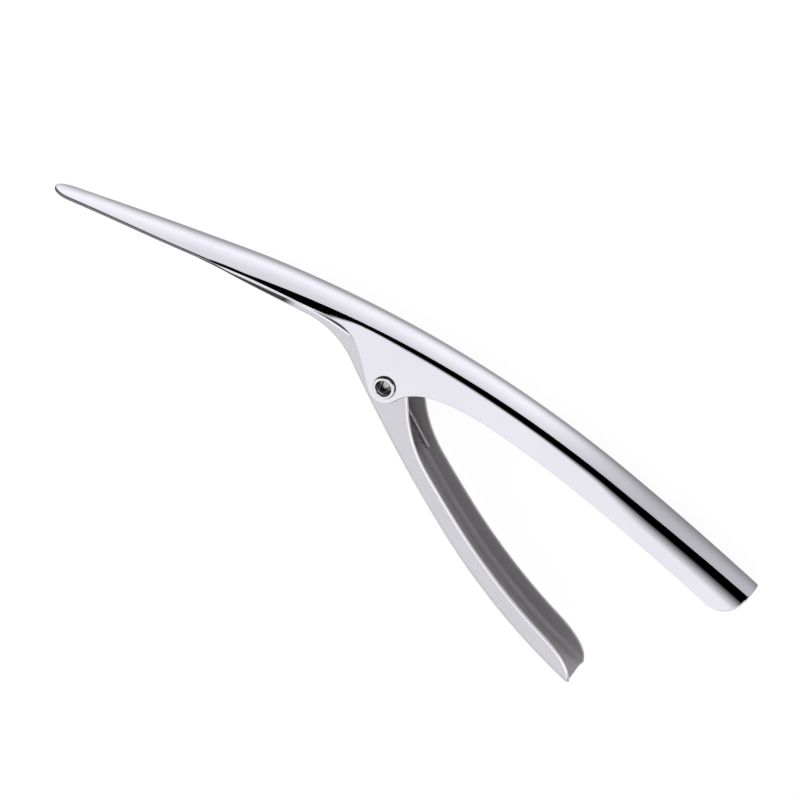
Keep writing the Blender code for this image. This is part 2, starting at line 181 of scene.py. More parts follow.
# Torsion spring: a coil round the rivet and two legs towards the handles. Its two wires overlap in
# the middle of the coil.
WIRE_RADIUS = 0.65 * MM
COIL_RADIUS = 3.6 * MM
COIL_PITCH = 1.8 * MM
WHOLE_TURNS = 5
UPPER_LEG_HEADING = 30.0
LOWER_LEG_HEADING = -26.0
UPPER_LEG_LENGTH = 19 * MM
LOWER_LEG_LENGTH = 22 * MM
UPPER_COIL_TO = 0.55
LOWER_COIL_FROM = 0.5
WIRE_ROUNDNESS = 5

# Fineness of the meshes.
COLUMNS_PER_HALF = 40
TIP_ROWS = 22
END_ROWS = 12
SHELL_RUNS = (
    (-80.5, -62, 1.2),
    (-62, -44, 0.7),
    (-44, -13, 0.9),
    (-13, 11, 0.4),
    (11, 26, 0.8),
    (26, 95.8, 1.6),
)
LEVER_RUNS = ((-78.3, -62, 1.4), (-62, -44, 0.9), (-44, -8, 1.0), (-8, 22, 0.6), (22, 71.3, 1.4))
TURN_WEIGHT = 4 * MM
TURN_ROUNDS = 30
DIFFERENCE_STEP = 0.02 * MM
STRAIGHT_LIMIT = 1e-9
SHARE_STEP = 0.002
SHEET_SPREAD = 18 * MM
ROUNDING_STEPS = 4
LATHE_STEPS = 96
ROLL_STEPS = 10
COIL_STEP = math.pi / 24


# Lines and curves


def smooth_step(start, end, x):
    share = min(max((x - start) / (end - start), 0), 1)
    return share * share * (3 - 2 * share)


def through_stations(stations, x):
    """A smooth value at x through (distance, value) stations in millimetres."""
    places = [place * MM for place, _ in stations]
    values = [value * MM for _, value in stations]
    x = min(max(x, places[0]), places[-1])
    last = len(places) - 1
    runs = [(values[i + 1] - values[i]) / (places[i + 1] - places[i]) for i in range(last)]
    slopes = []
    for i in range(last + 1):
        before = runs[max(i - 1, 0)]
        after = runs[min(i, last - 1)]
        bends_back = before * after <= 0
        slopes.append(0 if bends_back else 2 * before * after / (before + after))
    i = max(k for k in range(last) if places[k] <= x)
    run = places[i + 1] - places[i]
    t = (x - places[i]) / run
    return (
        (1 + 2 * t) * (1 - t) ** 2 * values[i]
        + t * (1 - t) ** 2 * run * slopes[i]
        + t * t * (3 - 2 * t) * values[i + 1]
        - t * t * (1 - t) * run * slopes[i + 1]
    )


class ArcLine:
    """A line y(x) of circular arcs that meet without a kink, known by its headings at some x."""

    def __init__(self, headings, known_x, known_y):
        self.knots = [(x * MM, math.sin(math.radians(heading))) for x, heading in headings]
        self.lift = 0
        self.lift = known_y - self.y(known_x)

    def y(self, x):
        total = self.lift
        for (start, sine), (end, end_sine) in zip(self.knots, self.knots[1:]):
            stop = min(max(x, start), end)
            if abs(end_sine - sine) < STRAIGHT_LIMIT:
                total += (stop - start) * sine / math.sqrt(1 - sine * sine)
                continue
            radius = (end - start) / (end_sine - sine)
            stop_sine = sine + (stop - start) / radius
            total -= radius * (math.sqrt(1 - stop_sine**2) - math.sqrt(1 - sine**2))
        return total

    def sine(self, x):
        """Sine of the heading at x."""
        for (start, sine), (end, end_sine) in zip(self.knots, self.knots[1:]):
            if x <= end:
                return sine + (max(x, start) - start) * (end_sine - sine) / (end - start)
        return self.knots[-1][1]

    def beside(self, x, gap):
        """Height of a line that runs a gap above this one."""
        return self.y(x) + gap / math.sqrt(1 - self.sine(x) ** 2)


def arc(z, y, radius, start, end):
    """An arc as its length, its turn and its point at a share of it, from +y towards +z."""

    def point_at(share):
        angle = start + (end - start) * share
        return z + radius * math.sin(angle), y + radius * math.cos(angle)

    return radius * abs(end - start), abs(end - start), point_at


def straight(start, end):
    """A straight line as its length, its turn of none and its point at a share of it."""

    def point_at(share):
        return start[0] + (end[0] - start[0]) * share, start[1] + (end[1] - start[1]) * share

    return math.dist(start, end), 0, point_at


def point_on(lines, share):
    """The (z, y) point at a share of lines that follow one another, closer together in bends."""
    weights = [length + TURN_WEIGHT * turn for length, turn, _ in lines]
    way = share * sum(weights)
    k = 0
    while k < len(lines) - 1 and way > weights[k]:
        way -= weights[k]
        k += 1
    return lines[k][2](way / weights[k])


def shortened(lines, cut):
    """Lines that follow one another, without the last bit of a given length."""
    lines = list(lines)
    while cut > lines[-1][0]:
        cut -= lines.pop()[0]
    length, turn, point_at = lines.pop()
    kept = 1 - cut / length
    lines.append((length * kept, turn * kept, lambda share: point_at(share * kept)))
    return tuple(lines)


# Sections of the upper arm

CROWN = ArcLine(CROWN_HEADINGS, 0, CROWN_AT_RIVET)


def lobe_point(heading):
    """The place on the round lobe under the rivet where its edge has a heading."""
    angle = math.radians(heading - 90)
    return LOBE_RADIUS * math.cos(angle), LOBE_RADIUS * math.sin(angle)


EAR_FRONT = ArcLine(EAR_FRONT_HEADINGS, *lobe_point(LOBE_FRONT_HEADING))
HANDLE_EDGE = ArcLine(HANDLE_EDGE_HEADINGS, *lobe_point(LOBE_REAR_HEADING))


def handle_end():
    """Middle of the handle's rounded corner, and how far the crown reaches at its square end."""
    ahead = Vector((math.cos(HANDLE_END_HEADING), math.sin(HANDLE_END_HEADING)))
    up = Vector((-ahead.y, ahead.x))
    start = Vector((HANDLE_CORNER_X, HANDLE_EDGE.y(HANDLE_CORNER_X)))
    corner = start + up * HANDLE_CORNER_RADIUS
    foot = corner + ahead * HANDLE_CORNER_RADIUS
    rise = CROWN.y(foot.x) - foot.y
    return corner, foot.x + rise * up.x / up.y


HANDLE_CORNER, SHELL_END_X = handle_end()


def shell_outline_y(x, inset):
    """Height of the upper arm's lower edge, moved inwards by an inset."""
    lobe = LOBE_RADIUS - inset
    front_x = lobe * math.sin(math.radians(LOBE_FRONT_HEADING))
    rear_x = lobe * math.sin(math.radians(LOBE_REAR_HEADING))
    corner = HANDLE_CORNER_RADIUS - inset
    if x < front_x:
        return EAR_FRONT.beside(x, inset)
    if x < rear_x:
        return -math.sqrt(lobe * lobe - x * x)
    along = x - HANDLE_CORNER.x
    if along < corner * math.sin(HANDLE_END_HEADING):
        return HANDLE_EDGE.beside(x, inset)
    along = min(along, corner * math.cos(HANDLE_END_HEADING))
    return HANDLE_CORNER.y - math.sqrt(corner**2 - along**2)


def crown_angles(half_width, crown_radius, shoulder, turn):
    """Where the shoulder starts and ends, turned by a share of the way to an upright wall."""
    if turn == 0:
        end = math.asin(half_width / crown_radius)
        return end, end
    start = CROWN_TURN
    for _ in range(TURN_ROUNDS):
        end = start + turn * (math.pi / 2 - start)
        start = math.asin((half_width - shoulder * math.sin(end)) / (crown_radius - shoulder))
    return start, end


@lru_cache(maxsize=None)
def shell_lines(x):
    """Half section of the upper arm's outside, from the crown to just short of its rounded edge."""
    half_width = through_stations(HALF_WIDTH_STATIONS, x)
    crown_radius = through_stations(CROWN_RADIUS_STATIONS, x)
    shoulder = max(SMALLEST_SHOULDER, 2 * half_width - crown_radius)
    turn = smooth_step(FLANGE_START_X, FLANGE_FULL_X, x)
    start, end = crown_angles(half_width, crown_radius, shoulder, turn)
    centre_y = CROWN.y(x) - crown_radius
    crown = arc(0, centre_y, crown_radius, 0, start)
    if turn == 0:
        return shortened((crown,), EDGE_ROUNDING)
    shoulder_z = (crown_radius - shoulder) * math.sin(start)
    shoulder_y = centre_y + (crown_radius - shoulder) * math.cos(start)
    spring_y = shoulder_y + shoulder * math.cos(end)
    inset = EDGE_ROUNDING if x >= FLANGE_FULL_X else 0
    blend = smooth_step(EDGE_BLEND_X, FLANGE_FULL_X, x)
    edge_y = spring_y + blend * (shell_outline_y(x, inset) - spring_y)
    if edge_y > spring_y:
        end = math.acos((edge_y - shoulder_y) / shoulder)
    lines = [crown, arc(shoulder_z, shoulder_y, shoulder, start, end)]
    drop = spring_y - edge_y
    if drop > 0:
        foot = lines[-1][2](1)
        lines.append(straight(foot, (foot[0] + drop / math.tan(end), foot[1] - drop)))
    return tuple(lines) if inset else shortened(lines, EDGE_ROUNDING)


# Sections of the lower arm

WEB = ArcLine(WEB_HEADINGS, 0, WEB_AT_RIVET)


def rim_fillet():
    """The hollow curve of the rim behind the hub, and where it starts."""
    run_sine = WEB.sine(WALL_RUN_START_X)
    hub_sine = math.sin(math.radians(RIM_HUB_HEADING))
    start_x = WALL_RUN_START_X - RIM_FILLET_RADIUS * (run_sine - hub_sine)
    headings = (
        (0, RIM_HUB_HEADING),
        (start_x / MM, RIM_HUB_HEADING),
        (WALL_RUN_START_X / MM, math.degrees(math.asin(run_sine))),
    )
    return ArcLine(headings, WALL_RUN_START_X, WEB.y(WALL_RUN_START_X) + WALL_HEIGHT), start_x


RIM_FILLET, RIM_FILLET_START_X = rim_fillet()


def hub_radius():
    """Radius of the rim's round hub, which touches the fillet's straight start."""
    away = math.radians(RIM_HUB_HEADING + 90)
    fillet_y = RIM_FILLET.y(RIM_FILLET_START_X)
    return RIM_FILLET_START_X * math.cos(away) + fillet_y * math.sin(away)


HUB_RADIUS = hub_radius()
HUB_FRONT = math.radians(RIM_FRONT_HEADINGS[-1][1] + 90)
HUB_REAR = math.radians(RIM_HUB_HEADING + 90)
RIM_FRONT = ArcLine(
    RIM_FRONT_HEADINGS, HUB_RADIUS * math.cos(HUB_FRONT), HUB_RADIUS * math.sin(HUB_FRONT)
)


def lever_rim_y(x, inset):
    """Height of the lower arm's rim, moved inwards by an inset."""
    hub = HUB_RADIUS - inset
    end_start = LEVER_END_X - RIM_END_LENGTH
    if x < hub * math.cos(HUB_FRONT):
        return RIM_FRONT.beside(x, -inset)
    if x < hub * math.cos(HUB_REAR):
        return math.sqrt(hub * hub - x * x)
    if x < WALL_RUN_START_X:
        return RIM_FILLET.beside(x, -inset)
    if x < end_start:
        return WEB.beside(x, -inset) + WALL_HEIGHT
    share = min((x - end_start) / (RIM_END_LENGTH - inset), 1)
    drop = (WALL_HEIGHT - LEVER_SHEET - inset) * math.sqrt(1 - share * share)
    return WEB.y(x) + LEVER_SHEET + drop


@lru_cache(maxsize=None)
def lever_lines(x):
    """Half section of the lower arm's outside, from its web to just short of the rounded rim."""
    half_width = through_stations(LEVER_WIDTH_STATIONS, x)
    turn = smooth_step(LEVER_TURN_START_X, LEVER_TURN_FULL_X, x)
    bend = through_stations(BEND_RADIUS_STATIONS, x)
    sweep = turn * math.pi / 2
    web_y = WEB.y(x)
    flat_z = half_width - bend * math.sin(sweep)
    web = straight((0, web_y), (flat_z, web_y))
    if turn == 0:
        return shortened((web,), EDGE_ROUNDING)
    top_y = web_y + bend * (1 - math.cos(sweep))
    inset = EDGE_ROUNDING if x >= LEVER_TURN_FULL_X else 0
    blend = smooth_step(RIM_BLEND_X, LEVER_TURN_FULL_X, x)
    rim_y = top_y + blend * (lever_rim_y(x, inset) - top_y)
    if rim_y < top_y:
        sweep = math.acos((web_y + bend - rim_y) / bend)
    lines = [web, arc(flat_z, web_y + bend, bend, math.pi, math.pi - sweep)]
    rise = rim_y - top_y
    if rise > 0:
        foot = lines[-1][2](1)
        lines.append(straight(foot, (foot[0] + rise / math.tan(sweep), rim_y)))
    return tuple(lines) if inset else shortened(lines, EDGE_ROUNDING)


# Sheet metal


def surface_point(section, x, share):
    z, y = point_on(section(x), abs(share))
    return Vector((x, y, math.copysign(z, share)))


def surface_normal(section, x, share, side):
    """The outward normal, for a surface whose outside is up (side 1) or down (side -1)."""
    low = max(abs(share) - SHARE_STEP, -SHARE_STEP)
    high = min(abs(share) + SHARE_STEP, 1)
    low_z, low_y = point_on(section(x), abs(low))
    high_z, high_y = point_on(section(x), high)
    low_z = math.copysign(low_z, low)
    across = Vector((0, high_y - low_y, high_z - low_z))
    ahead_z, ahead_y = point_on(section(x + DIFFERENCE_STEP), abs(share))
    behind_z, behind_y = point_on(section(x - DIFFERENCE_STEP), abs(share))
    along = Vector((2 * DIFFERENCE_STEP, ahead_y - behind_y, ahead_z - behind_z))
    normal = across.cross(along).normalized() * side
    normal.z = math.copysign(normal.z, normal.z * share) if share else 0
    return normal


def row_places(tip_x, runs, end_x, end_length, end_lean):
    """(place, bend round the tip, lean at the end) for each row of a sheet."""
    rows = []
    for i in range(TIP_ROWS):
        shift = TIP_RUN * (i / TIP_ROWS)
        rows.append((tip_x + EDGE_ROUNDING + shift, (1 - i / TIP_ROWS) ** 2, 0))
    for start, end, step in runs:
        count = math.ceil((end - start) / step)
        for i in range(count):
            rows.append(((start + (end - start) * i / count) * MM, 0, 0))
    turned = end_length - EDGE_ROUNDING
    for i in range(END_ROWS + 1):
        share = math.sin(math.pi / 2 * i / END_ROWS)
        rows.append((end_x - end_length + turned * share, 0, end_lean * share))
    return rows


def sheet_grid(section, rows, side):
    """Rows of (point, outward normal, place on the sheet) on a sheet's outside."""
    shares = [j / COLUMNS_PER_HALF for j in range(-COLUMNS_PER_HALF, COLUMNS_PER_HALF + 1)]
    if side < 0:
        shares.reverse()
    grid = []
    for place, bend, lean in rows:
        line = []
        top_y = point_on(section(place), 0)[1]
        for share in shares:
            round_share = math.sin(math.pi / 2 * share)
            round_shift = (TIP_ROUNDING - EDGE_ROUNDING) * (1 - math.cos(math.pi / 2 * share))
            mixed = bend * round_share + (1 - bend) * share
            drop = top_y - point_on(section(place), abs(share))[1]
            x = place + bend * round_shift - lean * drop
            point = surface_point(section, x, mixed)
            sheet_place = Vector((place, mixed * SHEET_SPREAD, 0))
            line.append((point, surface_normal(section, x, mixed, side), sheet_place))
        grid.append(line)
    return grid


def ring_of(grid):
    """Places (row, column) round the border of a grid, starting across the tip."""
    last_row = len(grid) - 1
    last = len(grid[0]) - 1
    ring = [(0, j) for j in range(last)]
    ring += [(i, last) for i in range(last_row)]
    ring += [(last_row, j) for j in range(last, 0, -1)]
    ring += [(i, 0) for i in range(last_row, 0, -1)]
    return ring


def rim_profile(point, normal, out, thickness):
    """Points over a rounded rim, from just outside the outer face to just inside the inner one."""
    points = []
    for depth, first in ((EDGE_ROUNDING, 0), (thickness - EDGE_ROUNDING, 1)):
        middle = point - normal * depth
        for i in range(ROUNDING_STEPS + 1):
            angle = math.pi / 2 * (first + i / ROUNDING_STEPS)
            points.append(
                middle + (out * math.sin(angle) + normal * math.cos(angle)) * EDGE_ROUNDING
            )
    return points[1:-1]


def sheet_mesh(name, grid, thickness):
    """A closed sheet of metal with rounded rims, and its rim and inside as attributes."""
    columns = len(grid[0])
    outer_count = len(grid) * columns
    vertices = [point for line in grid for point, _, _ in line]
    vertices += [point - normal * thickness for line in grid for point, normal, _ in line]
    places = [place for line in grid for _, _, place in line] * 2
    faces = []
    for i in range(len(grid) - 1):
        for j in range(columns - 1):
            a = i * columns + j
            quad = (a, a + 1, a + columns + 1, a + columns)
            faces.append(quad)
            faces.append(tuple(outer_count + corner for corner in reversed(quad)))
    ring = ring_of(grid)
    strips = []
    for k, (i, j) in enumerate(ring):
        before_i, before_j = ring[k - 1]
        after_i, after_j = ring[(k + 1) % len(ring)]
        point, normal, place = grid[i][j]
        tangent = grid[after_i][after_j][0] - grid[before_i][before_j][0]
        out = tangent.cross(normal).normalized()
        start = len(vertices)
        profile = rim_profile(point, normal, out, thickness)
        vertices += profile
        places += [place] * len(profile)
        outer = i * columns + j
        strips.append([outer, *range(start, start + len(profile)), outer_count + outer])
    for k, strip in enumerate(strips):
        following = strips[(k + 1) % len(strips)]
        for m in range(len(strip) - 1):
            faces.append((strip[m], strip[m + 1], following[m + 1], following[m]))
    mesh = bpy.data.meshes.new(name)
    mesh.from_pydata(vertices, [], faces)
    rim_values = [0.0] * (2 * outer_count) + [1.0] * (len(vertices) - 2 * outer_count)
    inside_values = [0.0] * outer_count + [1.0] * outer_count
    inside_values += ([0.0] * ROUNDING_STEPS + [1.0] * ROUNDING_STEPS) * len(ring)
    mesh.attributes.new("rim", "FLOAT", "POINT").data.foreach_set("value", rim_values)
    mesh.attributes.new("inside", "FLOAT", "POINT").data.foreach_set("value", inside_values)
    place_values = [coordinate for place in places for coordinate in place]
    sheet_places = mesh.attributes.new("sheet_place", "FLOAT_VECTOR", "POINT")
    sheet_places.data.foreach_set("vector", place_values)
    mesh.shade_smooth()
    return mesh


def put(name, data, pivot, material):
    """Adds a piece whose shape is drawn in the rivet's axes."""
    data.transform(Matrix.Translation(pivot))
    data.materials.append(material)
    piece = bpy.data.objects.new(name, data)
    bpy.context.scene.collection.objects.link(piece)
    return piece


def lathe_mesh(name, profile):
    """A ring of a closed (radius, height) profile turned round the Z axis."""
    count = len(profile)
    vertices = []
    for k in range(LATHE_STEPS):
        angle = 2 * math.pi * k / LATHE_STEPS
        for radius, height in profile:
            vertices.append((radius * math.cos(angle), radius * math.sin(angle), height))
    faces = []
    for k in range(LATHE_STEPS):
        here = k * count
        there = (k + 1) % LATHE_STEPS * count
        for m in range(count):
            after = (m + 1) % count
            faces.append((here + m, here + after, there + after, there + m))
    mesh = bpy.data.meshes.new(name)
    mesh.from_pydata(vertices, [], faces)
    mesh.shade_smooth()
    return mesh


def cut_pivot_hole(piece, pivot):
    """Cuts the rivet's hole through both walls of an arm."""
    drill = bmesh.new()
    bmesh.ops.create_cone(
        drill,
        cap_ends=True,
        segments=LATHE_STEPS,
        radius1=PIVOT_HOLE_RADIUS,
        radius2=PIVOT_HOLE_RADIUS,
        depth=PIVOT_HOLE_DEPTH,
    )
    mesh = bpy.data.meshes.new(piece.name + "_hole")
    drill.to_mesh(mesh)
    drill.free()
    cutter = bpy.data.objects.new(mesh.name, mesh)
    cutter.location = pivot
    bpy.context.scene.collection.objects.link(cutter)
    cut = piece.modifiers.new("rivet_hole", "BOOLEAN")
    cut.operation = "DIFFERENCE"
    cut.solver = "EXACT"
    cut.object = cutter
    bpy.context.view_layer.objects.active = piece
    bpy.ops.object.modifier_apply(modifier=cut.name)
    bpy.data.objects.remove(cutter, do_unlink=True)


# Pieces


def make_upper_arm(pivot):
    lean = math.tan(-HANDLE_END_HEADING)
    rows = row_places(SHELL_TIP_X, SHELL_RUNS, SHELL_END_X, HANDLE_END_LENGTH, lean)
    grid = sheet_grid(shell_lines, rows, 1)
    mesh = sheet_mesh("upper_arm_sheet", grid, SHELL_SHEET)
    piece = put("upper_arm_sheet", mesh, pivot, polished_steel())
    cut_pivot_hole(piece, pivot)
    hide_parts("upper_shell")
    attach(piece, "upper_arm")


def make_lower_arm(pivot):
    rows = row_places(LEVER_TIP_X, LEVER_RUNS, LEVER_END_X, RIM_END_LENGTH, 0)
    grid = sheet_grid(lever_lines, rows, -1)
    mesh = sheet_mesh("lower_arm_sheet", grid, LEVER_SHEET)
    piece = put("lower_arm_sheet", mesh, pivot, satin_steel())
    cut_pivot_hole(piece, pivot)
    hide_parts("lower_lever")
    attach(piece, "lower_arm")


def rolled_rim():
    """Radius and height round one rolled rim, from the bore over its flat top to its underside."""
    roll = (RIVET_RIM_RADIUS - RIVET_BORE_RADIUS - RIVET_RIM_FLAT) / 2
    base = SHELL_HALF_WIDTH + RIVET_RIM_GAP
    quarter = [math.pi / 2 * i / ROLL_STEPS for i in range(ROLL_STEPS + 1)]
    points = []
    for angle in quarter:
        radius = RIVET_BORE_RADIUS + roll * (1 - math.cos(angle))
        points.append((radius, base + RIVET_RIM_HEIGHT * math.sin(angle)))
    for angle in quarter:
        radius = RIVET_RIM_RADIUS - roll * (1 - math.sin(angle))
        points.append((radius, base + RIVET_RIM_HEIGHT * math.cos(angle)))
    points.append((RIVET_SHANK_RADIUS, base))
    return points


def make_rivet(pivot):
    rim = rolled_rim()
    profile = rim + [(radius, -height) for radius, height in reversed(rim)]
    mesh = lathe_mesh("rolled_rivet", profile)
    mesh.set_sharp_from_angle(angle=RIVET_CREASE)
    bore = mesh.attributes.new("bore", "FLOAT", "POINT")
    # The foot attribute marks the painted shadow round the foot of each rolled rim.
    foot = mesh.attributes.new("foot", "FLOAT", "POINT")
    foot_height = SHELL_HALF_WIDTH + RIVET_RIM_GAP + RIVET_RIM_HEIGHT * RIVET_FOOT_SHADOW_SHARE
    for in_bore, in_foot_shadow, vertex in zip(bore.data, foot.data, mesh.vertices):
        in_bore.value = vertex.co.xy.length < RIVET_BORE_RADIUS + BORE_EDGE
        outside = vertex.co.xy.length > RIVET_RIM_RADIUS - RIVET_RIM_FLAT
        in_foot_shadow.value = outside and abs(vertex.co.z) < foot_height
    piece = put("rolled_rivet", mesh, pivot, rivet_steel(pivot.z))
    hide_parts("pivot_rivet")
    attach(piece, "upper_arm")


def leg_direction(heading):
    return Vector((math.cos(math.radians(heading)), math.sin(math.radians(heading)), 0))


def coil_points(first, last, share_from, share_to):
    """Points along part of the coil, which runs from angle first to angle last."""
    top = (last - first) / (2 * math.pi) * COIL_PITCH / 2
    steps = math.ceil((last - first) * (share_to - share_from) / COIL_STEP)
    points = []
    for i in range(steps + 1):
        share = share_from + (share_to - share_from) * i / steps
        angle = first + (last - first) * share
        height = top * (1 - 2 * share)
        around = Vector((math.cos(angle), math.sin(angle), 0)) * COIL_RADIUS
        points.append(around + Vector((0, 0, height)))
    return points


def make_wire(name, points, pivot, material, body):
    curve = bpy.data.curves.new(name, "CURVE")
    curve.dimensions = "3D"
    curve.bevel_depth = WIRE_RADIUS
    curve.bevel_resolution = WIRE_ROUNDNESS
    curve.use_fill_caps = True
    spline = curve.splines.new("POLY")
    spline.points.add(len(points) - 1)
    for point, place in zip(spline.points, points):
        point.co = (*place, 1)
    spline.use_smooth = True
    piece = put(name, curve, pivot, material)
    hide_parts("torsion_spring")
    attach(piece, body)


def make_spring(pivot):
    """The spring as two wires that share one coil, each riding with its own arm."""
    material = spring_steel()
    first = math.radians(UPPER_LEG_HEADING + 90)
    last = math.radians(LOWER_LEG_HEADING - 90) + 2 * math.pi * (WHOLE_TURNS + 1)
    upper = coil_points(first, last, 0, UPPER_COIL_TO)
    upper.insert(0, upper[0] + leg_direction(UPPER_LEG_HEADING) * UPPER_LEG_LENGTH)
    make_wire("spring_upper_leg", upper, pivot, material, "upper_arm")
    lower = coil_points(first, last, LOWER_COIL_FROM, 1)
    lower.append(lower[-1] + leg_direction(LOWER_LEG_HEADING) * LOWER_LEG_LENGTH)
    make_wire("spring_lower_leg", lower, pivot, material, "lower_arm")


# Materials


# The Mix node has sockets of the same names for each kind of data; these are the colour ones.
MIX_COLOUR_A = 6
MIX_COLOUR_B = 7
MIX_COLOUR_RESULT = 2


class Nodes:
    """Short calls for a material's node tree."""

    def __init__(self, name):
        self.material = bpy.data.materials.new(name)
        self.material.use_nodes = True
        self.tree = self.material.node_tree
        self.shader = self.tree.nodes["Principled BSDF"]

    def add(self, kind, **values):
        node = self.tree.nodes.new(kind)
        for key, value in values.items():
            setattr(node, key, value)
        return node

    def link(self, source, target):
        self.tree.links.new(source, target)

    def in_space(self):
        """Where a point is in the object's own space, in metres."""
        return self.add("ShaderNodeTexCoord").outputs["Object"]

    def on_sheet(self):
        """Where a point is along and across its bent sheet, in metres."""
        return self.add("ShaderNodeAttribute", attribute_name="sheet_place").outputs["Vector"]

    def along_and_across(self):
        """How far a point is along its sheet, and how far across from the sheet's middle."""
        parts = self.add("ShaderNodeSeparateXYZ")
        self.link(self.on_sheet(), parts.inputs["Vector"])
        return parts.outputs["X"], self.calculate("ABSOLUTE", parts.outputs["Y"], 0)

    def noise(self, place, grain, detail):
        """Noise whose grain has a given size along each axis."""
        mapping = self.add("ShaderNodeMapping")
        mapping.inputs["Scale"].default_value = [1 / size for size in grain]
        self.link(place, mapping.inputs["Vector"])
        node = self.add("ShaderNodeTexNoise")
        node.inputs["Scale"].default_value = 1
        node.inputs["Detail"].default_value = detail
        self.link(mapping.outputs["Vector"], node.inputs["Vector"])
        return node.outputs["Fac"]

    def spread(self, value, low, high, to_low, to_high):
        """A value from one range carried over to another, held at its ends."""
        node = self.add("ShaderNodeMapRange")
        self.link(value, node.inputs["Value"])
        node.inputs["From Min"].default_value = low
        node.inputs["From Max"].default_value = high
        node.inputs["To Min"].default_value = to_low
        node.inputs["To Max"].default_value = to_high
        return node.outputs["Result"]

    def calculate(self, operation, first, second):
        node = self.add("ShaderNodeMath", operation=operation)
        for value, socket in ((first, node.inputs[0]), (second, node.inputs[1])):
            if isinstance(value, (int, float)):
                socket.default_value = value
            else:
                self.link(value, socket)
        return node.outputs["Value"]

    def attribute(self, name):
        return self.add("ShaderNodeAttribute", attribute_name=name).outputs["Fac"]

    def blend(self, share, first, second):
        """A colour between a colour or another blend and a second colour, by a share."""
        node = self.add("ShaderNodeMix", data_type="RGBA")
        self.link(share, node.inputs["Factor"])
        if isinstance(first, tuple):
            node.inputs[MIX_COLOUR_A].default_value = (*first, 1)
        else:
            self.link(first, node.inputs[MIX_COLOUR_A])
        node.inputs[MIX_COLOUR_B].default_value = (*second, 1)
        return node.outputs[MIX_COLOUR_RESULT]

    def bump(self, height, strength, distance):
        node = self.add("ShaderNodeBump")
        node.inputs["Strength"].default_value = strength
        node.inputs["Distance"].default_value = distance
        self.link(height, node.inputs["Height"])
        self.link(node.outputs["Normal"], self.shader.inputs["Normal"])


# Along the arms: where the painted dark reflection on the nose's rim ends, where the lever nests
# under the shell's rim, where the painted shadow line there takes in the whole rim, and where the
# painted dark reflection on the lower jaw's sides ends.
NOSE_REFLECTION_TO_X = -42 * MM
NOSE_BRIGHT_FROM_X = -28 * MM
NEST_START_X = -46 * MM
NEST_FULL_X = -40 * MM
NEST_FADE_X = -15 * MM
NEST_END_X = -12 * MM
WHOLE_RIM_START_X = -27 * MM
WHOLE_RIM_FULL_X = -20 * MM
JAW_DARK_TO_X = -33.5 * MM
JAW_LIGHT_FROM_X = -30.5 * MM
# Across the lower arm: the jaw's sides with painted dark reflection, and the painted highlight
# along the edge of the walls.
JAW_SIDE_FROM = 0.62 * SHEET_SPREAD
JAW_SIDE_FULL = 0.75 * SHEET_SPREAD
WALL_EDGE_FROM = 0.977 * SHEET_SPREAD
WALL_EDGE_FULL = 0.992 * SHEET_SPREAD

# Colours of the steel: each surface's own tones, and the painted shade, shadow, reflection and
# highlight named below.
POLISHED_LIGHT = (0.83, 0.815, 0.89)
POLISHED_SHADE = (0.795, 0.78, 0.86)
# The inside is duller as-rolled sheet, and darker also as painted shade.
POLISHED_INSIDE_DULL_AND_SHADED = (0.62, 0.61, 0.64)
# Painted dark reflection along the shell's rim towards the nose.
NOSE_RIM_PAINTED_REFLECTION = (0.2, 0.195, 0.21)
# Painted shadow line on the shell's rim where the lever nests under it.
NEST_SHADOW_LINE = (0.03, 0.03, 0.032)
SATIN_LIGHT = (0.68, 0.67, 0.715)
SATIN_SHADE = (0.63, 0.62, 0.665)
# Painted highlight along the lever's rims and the walls' outer edge.
SATIN_RIM_HIGHLIGHT = (0.95, 0.94, 0.97)
# The channel is duller as-rolled sheet, and darker also as painted shade.
SATIN_CHANNEL_DULL_AND_SHADED = (0.5, 0.48, 0.495)
# Painted dark reflection on the lower jaw's sides and rim.
JAW_DARK_REFLECTION = (0.05, 0.05, 0.053)
RIVET_LIGHT = (0.84, 0.83, 0.87)
RIVET_SHADE = (0.74, 0.73, 0.77)
# Painted shade inside each mouth of the rivet's bore.
BORE_SHADE = (0.05, 0.05, 0.052)
# Painted shadow in the crevice at the foot of each rolled rim.
RIVET_FOOT_SHADOW = (0.03, 0.03, 0.03)
WIRE_LIGHT = (0.4, 0.39, 0.4)
WIRE_SHADE = (0.3, 0.29, 0.3)

# Size of the grain of each finish along three axes. Places on a sheet have no third axis.
BUFFING_GRAIN = (17 * MM, 0.35 * MM, 1)
POLISHED_HAZE_GRAIN = (22 * MM, 11 * MM, 11 * MM)
BRUSHING_GRAIN = (18 * MM, 0.25 * MM, 1)
SATIN_HAZE_GRAIN = (16 * MM, 9 * MM, 9 * MM)
TURNING_GRAIN = (0.4 * MM, 0.4 * MM, 1.1 * MM)
WIRE_GRAIN = (0.55 * MM, 0.55 * MM, 0.55 * MM)


